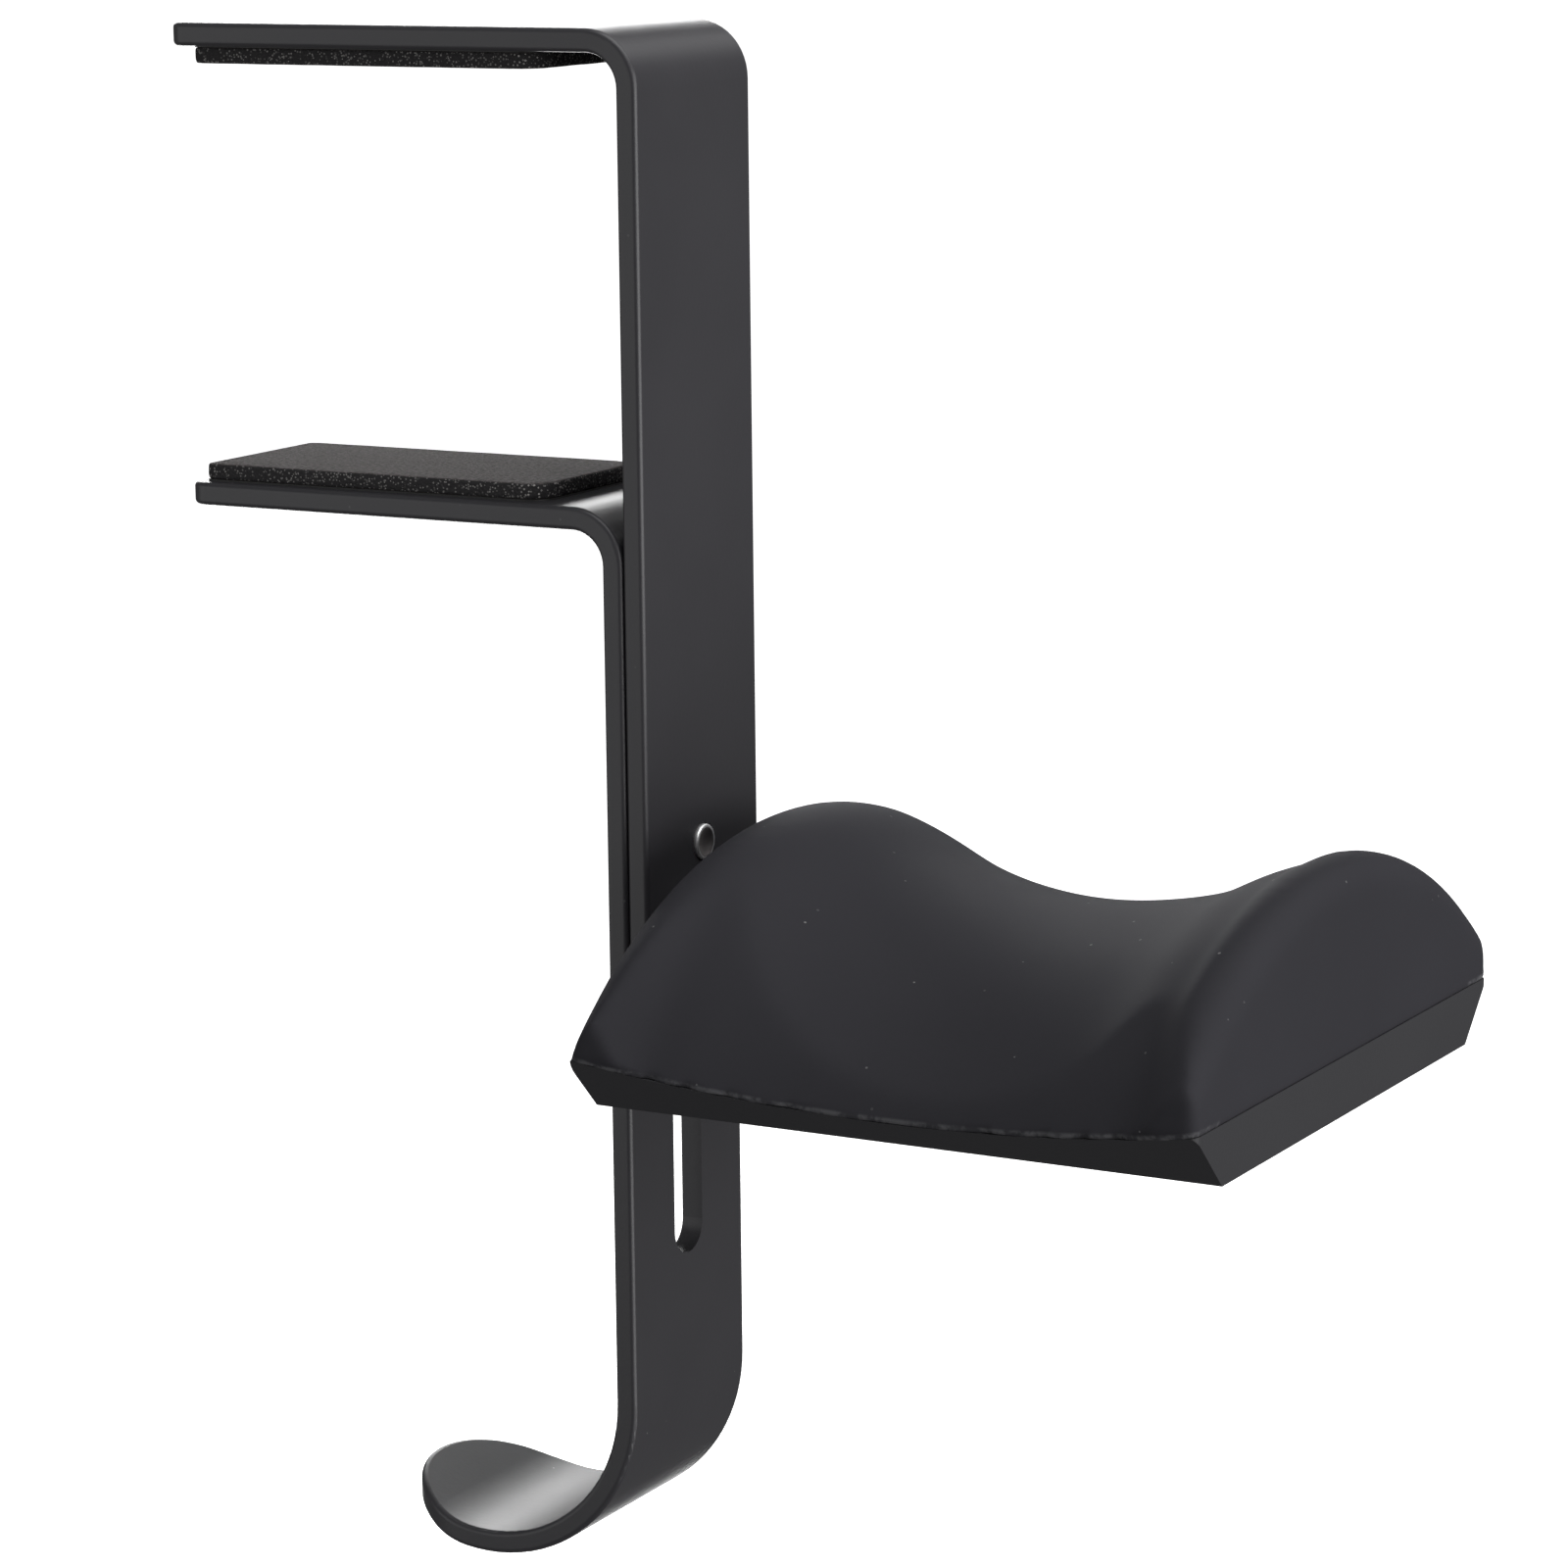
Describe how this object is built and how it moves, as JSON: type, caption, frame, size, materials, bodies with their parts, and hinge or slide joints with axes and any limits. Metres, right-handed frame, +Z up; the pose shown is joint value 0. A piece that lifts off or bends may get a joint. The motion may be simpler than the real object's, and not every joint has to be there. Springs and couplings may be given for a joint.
{
  "type": "headphone hook",
  "caption": "Desk-clamp headphone hook: two sliding steel strips grip a desk edge and carry a padded swivel saddle and a small hook below.",
  "frame": {"origin": "centre of the upper foam pad's underside, which rests on the desk top", "axes": "+X away from the desk and out along the saddle, +Y across the strips, +Z up"},
  "size_m": [0.1454, 0.0824, 0.1815],
  "materials": {
    "black_powder_coat": "matte black powder coat on steel strip",
    "adhesive_tape": "thin black double-sided tape",
    "black_foam": "matte closed-cell foam, fine cells on the cut edges",
    "bright_steel": "bright zinc-plated steel",
    "black_nylon": "black moulded nylon",
    "insert_brass": "plain brass",
    "black_silicone": "soft matte silicone",
    "black_plastic": "fine matte moulded plastic"
  },
  "bodies": {
    "fixed_arm": {"upper_bracket": "black_powder_coat", "upper_pad_tape": "adhesive_tape", "upper_foam_pad": "black_foam", "guide_pin": "bright_steel"},
    "sliding_arm": {"lower_bracket": "black_powder_coat", "lower_pad_tape": "adhesive_tape", "lower_foam_pad": "black_foam"},
    "screw_seat": {"clamp_washer": "bright_steel"},
    "screw": {"clamp_screw": "bright_steel"},
    "saddle": {"swivel_washer": "black_nylon", "spacer_bush": "black_nylon", "threaded_insert": "insert_brass", "saddle_core": "black_nylon", "saddle_skin": "black_silicone", "saddle_base_plate": "black_plastic", "base_plate_screws": "bright_steel"}
  },
  "joints": [
    {"name": "clamp_slide", "type": "slide", "parent": "fixed_arm", "child": "sliding_arm", "axis": [0, 0, 1], "range_m": [-0.002, 0.035]},
    {"name": "screw_travel", "type": "slide", "parent": "fixed_arm", "child": "screw_seat", "axis": [1, 0, 0], "range_m": [-0.001, 0]},
    {"name": "screw_turn", "type": "hinge", "parent": "screw_seat", "child": "screw", "pos_m": [0.045, 0, -0.101], "axis": [1, 0, 0], "range_deg": [-360, 0]},
    {"name": "saddle_swivel", "type": "hinge", "parent": "fixed_arm", "child": "saddle", "pos_m": [0.0434, 0, -0.101], "axis": [1, 0, 0], "range_deg": [-180, 180]}
  ],
  "couplings": [
    {"joint": "screw_travel", "follows": "screw_turn", "m_per_rad": 0.00015915}
  ]
}
